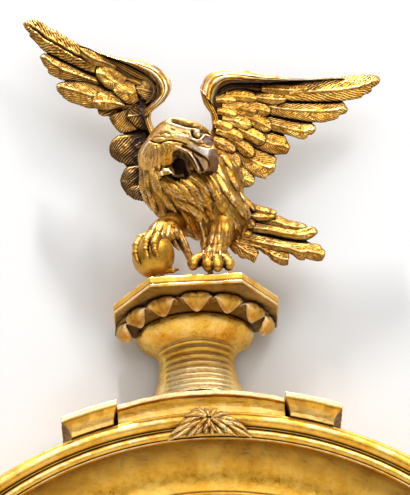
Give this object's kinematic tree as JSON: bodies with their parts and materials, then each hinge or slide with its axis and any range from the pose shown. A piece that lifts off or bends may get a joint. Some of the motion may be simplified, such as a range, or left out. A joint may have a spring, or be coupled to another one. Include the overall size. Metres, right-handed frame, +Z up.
{
  "type": "girandole mirror",
  "caption": "Round giltwood convex wall mirror with an eagle crest on a chamfered plinth and a pair of swivelling brass candle arms.",
  "frame": {"origin": "centre of the round frame, on the back face of the backboard that lies against the wall", "axes": "+Z up, -Y out of the wall towards the viewer, +X to the viewer's right"},
  "size_m": [0.76, 0.237, 1.2284],
  "materials": {
    "giltwood": "water-gilt over red clay, burnished on high places, worn and darkened in the hollows",
    "ebonised_wood": "satin black",
    "mirror_plate": "silvered convex glass",
    "pine": "bare, aged",
    "dowel_wood": "bare",
    "iron": "dark forged",
    "brass": "lacquered, lightly tarnished"
  },
  "bodies": {
    "root": {"frame_ring": "giltwood", "sight_fillet": "giltwood", "platform_middle": "giltwood", "platform_block_left": "giltwood", "platform_block_right": "giltwood", "neck": "giltwood", "leaf_ring": "giltwood", "plinth": "giltwood", "eagle_body": "giltwood", "wing_left": "giltwood", "wing_right": "giltwood", "eagle_tail": "giltwood", "ball": "giltwood", "leg_right": "giltwood", "leg_left": "giltwood", "leaf_clasp": "giltwood", "arm_bracket_left": "giltwood", "arm_bracket_right": "giltwood", "mirror_slip": "ebonised_wood", "mirror_plate": "mirror_plate", "backboard": "pine", "crest_batten": "pine", "plate_block_1": "pine", "plate_block_2": "pine", "plate_block_3": "pine", "plate_block_4": "pine", "neck_dowel": "dowel_wood", "plinth_dowel": "dowel_wood", "foot_dowel": "dowel_wood", "ball_dowel": "dowel_wood", "board_screw_1": "iron", "board_screw_2": "iron", "board_screw_3": "iron", "board_screw_4": "iron", "board_screw_5": "iron", "board_screw_6": "iron", "hanger_screw_left_lower": "iron", "hanger_screw_left_upper": "iron", "hanger_screw_right_lower": "iron", "hanger_screw_right_upper": "iron", "batten_screw_1": "iron", "batten_screw_2": "iron", "batten_screw_3": "iron", "batten_screw_4": "iron", "batten_screw_5": "iron", "hanger_plate_left": "iron", "hanger_plate_right": "iron", "arm_pin_left": "brass", "arm_pin_right": "brass"},
    "arm_left": {"candle_arm_left": "brass", "drip_pan_left": "brass", "candle_cup_left": "brass"},
    "arm_right": {"candle_arm_right": "brass", "drip_pan_right": "brass", "candle_cup_right": "brass"},
    "loop_left": {"hanger_loop_left": "iron"},
    "loop_right": {"hanger_loop_right": "iron"}
  },
  "joints": [
    {"name": "arm_swivel_left", "type": "hinge", "parent": "root", "child": "arm_left", "pos_m": [-0.257, -0.082, -0.249], "axis": [0, 0, 1], "range_deg": [-35, 35]},
    {"name": "loop_swing_left", "type": "hinge", "parent": "root", "child": "loop_left", "pos_m": [-0.226, -0.0052, 0.262], "axis": [1, 0, 0], "range_deg": [0, 170]},
    {"name": "arm_swivel_right", "type": "hinge", "parent": "root", "child": "arm_right", "pos_m": [0.257, -0.082, -0.249], "axis": [0, 0, 1], "range_deg": [-35, 35]},
    {"name": "loop_swing_right", "type": "hinge", "parent": "root", "child": "loop_right", "pos_m": [0.226, -0.0052, 0.262], "axis": [1, 0, 0], "range_deg": [0, 170]}
  ]
}
